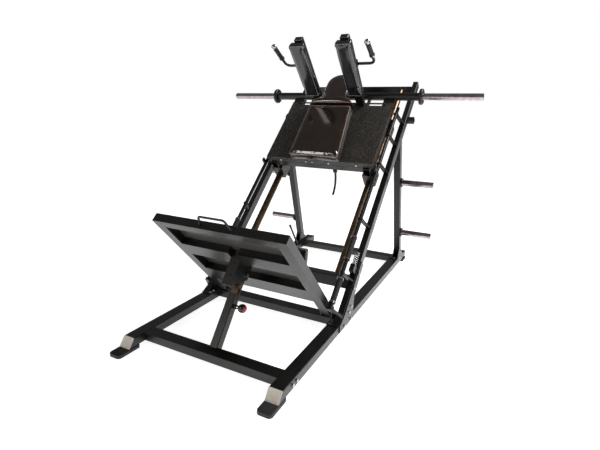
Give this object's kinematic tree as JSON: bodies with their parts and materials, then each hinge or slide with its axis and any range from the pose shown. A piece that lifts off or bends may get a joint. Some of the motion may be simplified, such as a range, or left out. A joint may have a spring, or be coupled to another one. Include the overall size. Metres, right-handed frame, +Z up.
{
  "type": "leg press and hack squat machine",
  "caption": "Plate-loaded leg press and hack squat machine: inclined sled with shoulder pads on two guide rods, facing a tilting foot plate on a floor frame.",
  "frame": {"origin": "floor under the middle of the footprint: midway between the base rails and between the front foot pads and the rear caps", "axes": "+Z up, -Y towards the end with the foot plate, +X towards the side with the spring pin knob; the rails rise towards +Y"},
  "size_m": [2.06, 2.408, 1.7784],
  "materials": {
    "powder_black": "satin",
    "deck_coating": "textured matte",
    "chrome": "polished",
    "guide_rod_steel": "polished",
    "fasteners": "satin",
    "vinyl_brown": "glossy",
    "vinyl_black": "glossy",
    "rubber_black": "matte",
    "plastic_black": "matte",
    "board": "painted",
    "knob_red": "gloss"
  },
  "bodies": {
    "frame": {"base_rails": "powder_black", "front_crossmember": "powder_black", "middle_crossmember": "powder_black", "rear_crossmember": "powder_black", "main_rails": "powder_black", "mounting_plates": "powder_black", "rail_struts": "powder_black", "top_crossbar": "powder_black", "lower_cross_tube": "powder_black", "uprights": "powder_black", "catch_bar_tabs": "powder_black", "seat_bracket": "powder_black", "support_post": "powder_black", "side_stubs": "powder_black", "storage_pegs": "chrome", "guide_rods": "guide_rod_steel", "frame_bolts": "fasteners", "hinge_pins": "fasteners", "catch_springs": "fasteners", "seat_pad": "vinyl_brown", "foot_pads": "rubber_black", "end_caps": "plastic_black"},
    "sled": {"sled_plate": "deck_coating", "sled_side_beams": "powder_black", "sled_crossbars": "powder_black", "bearing_blocks": "powder_black", "loading_bar": "powder_black", "bar_collars": "powder_black", "weight_sleeves": "chrome", "loading_bar_brackets": "powder_black", "shoulder_posts": "powder_black", "shoulder_pad_left": "vinyl_black", "shoulder_pad_right": "vinyl_black", "pad_supports": "board", "back_pad": "vinyl_brown", "head_pad": "vinyl_brown", "sled_bolts": "fasteners"},
    "sled_lever": {"sled_lever": "powder_black"},
    "left_handle": {"shoulder_handle_left": "powder_black", "shoulder_handle_grip_left": "rubber_black", "shoulder_handle_ends_left": "chrome"},
    "right_handle": {"shoulder_handle_right": "powder_black", "shoulder_handle_grip_right": "rubber_black", "shoulder_handle_ends_right": "chrome"},
    "left_catch_bar": {"catch_bar_left": "powder_black", "catch_bar_grips_left": "rubber_black", "catch_bar_rings_left": "chrome"},
    "right_catch_bar": {"catch_bar_right": "powder_black", "catch_bar_grips_right": "rubber_black", "catch_bar_rings_right": "chrome"},
    "foot_plate": {"foot_plate_frame": "powder_black", "foot_plate_deck": "deck_coating", "foot_plate_handle": "powder_black", "post_bracket": "powder_black"},
    "inner_post": {"inner_post": "chrome", "post_bolt": "fasteners"},
    "spring_pin": {"pin_plunger": "chrome", "pin_knob": "knob_red"}
  },
  "joints": [
    {"name": "sled_slide", "type": "slide", "parent": "frame", "child": "sled", "axis": [0, 0.7193, 0.6947], "range_m": [-0.52, 0.32]},
    {"name": "sled_lever_turn", "type": "hinge", "parent": "sled", "child": "sled_lever", "pos_m": [0.118, 0.348, 0.862], "axis": [1, 0, 0], "range_deg": [-25, 25]},
    {"name": "left_handle_turn", "type": "hinge", "parent": "sled", "child": "left_handle", "pos_m": [-0.205, 0.42756, 1.60835], "axis": [1, 0, 0], "range_deg": [0, 30], "stiffness_Nm_per_rad": 8, "springref_deg": -28.65},
    {"name": "right_handle_turn", "type": "hinge", "parent": "sled", "child": "right_handle", "pos_m": [0.205, 0.42756, 1.60835], "axis": [1, 0, 0], "range_deg": [0, 30], "stiffness_Nm_per_rad": 8, "springref_deg": -28.65},
    {"name": "left_catch_turn", "type": "hinge", "parent": "frame", "child": "left_catch_bar", "pos_m": [-0.444, 0.15303, 0.74964], "axis": [0, 0.7193, 0.6947], "range_deg": [0, 55], "stiffness_Nm_per_rad": 2, "springref_deg": -28.65},
    {"name": "right_catch_turn", "type": "hinge", "parent": "frame", "child": "right_catch_bar", "pos_m": [0.444, 0.15303, 0.74964], "axis": [0, -0.7193, -0.6947], "range_deg": [0, 55], "stiffness_Nm_per_rad": 2, "springref_deg": -28.65},
    {"name": "foot_plate_tilt", "type": "hinge", "parent": "frame", "child": "foot_plate", "pos_m": [0, -0.337, 0.125], "axis": [1, 0, 0], "range_deg": [-8, 12]},
    {"name": "post_slide", "type": "slide", "parent": "frame", "child": "inner_post", "axis": [0, 0.6007, 0.7995], "range_m": [-0.095, 0.064]},
    {"name": "spring_pin_pull", "type": "slide", "parent": "frame", "child": "spring_pin", "axis": [1, 0, 0], "range_m": [0, 0.012], "stiffness_N_per_m": 900, "springref_m": -0.01}
  ],
  "couplings": [
    {"joint": "post_slide", "follows": "foot_plate_tilt", "m_per_rad": -0.4422}
  ]
}
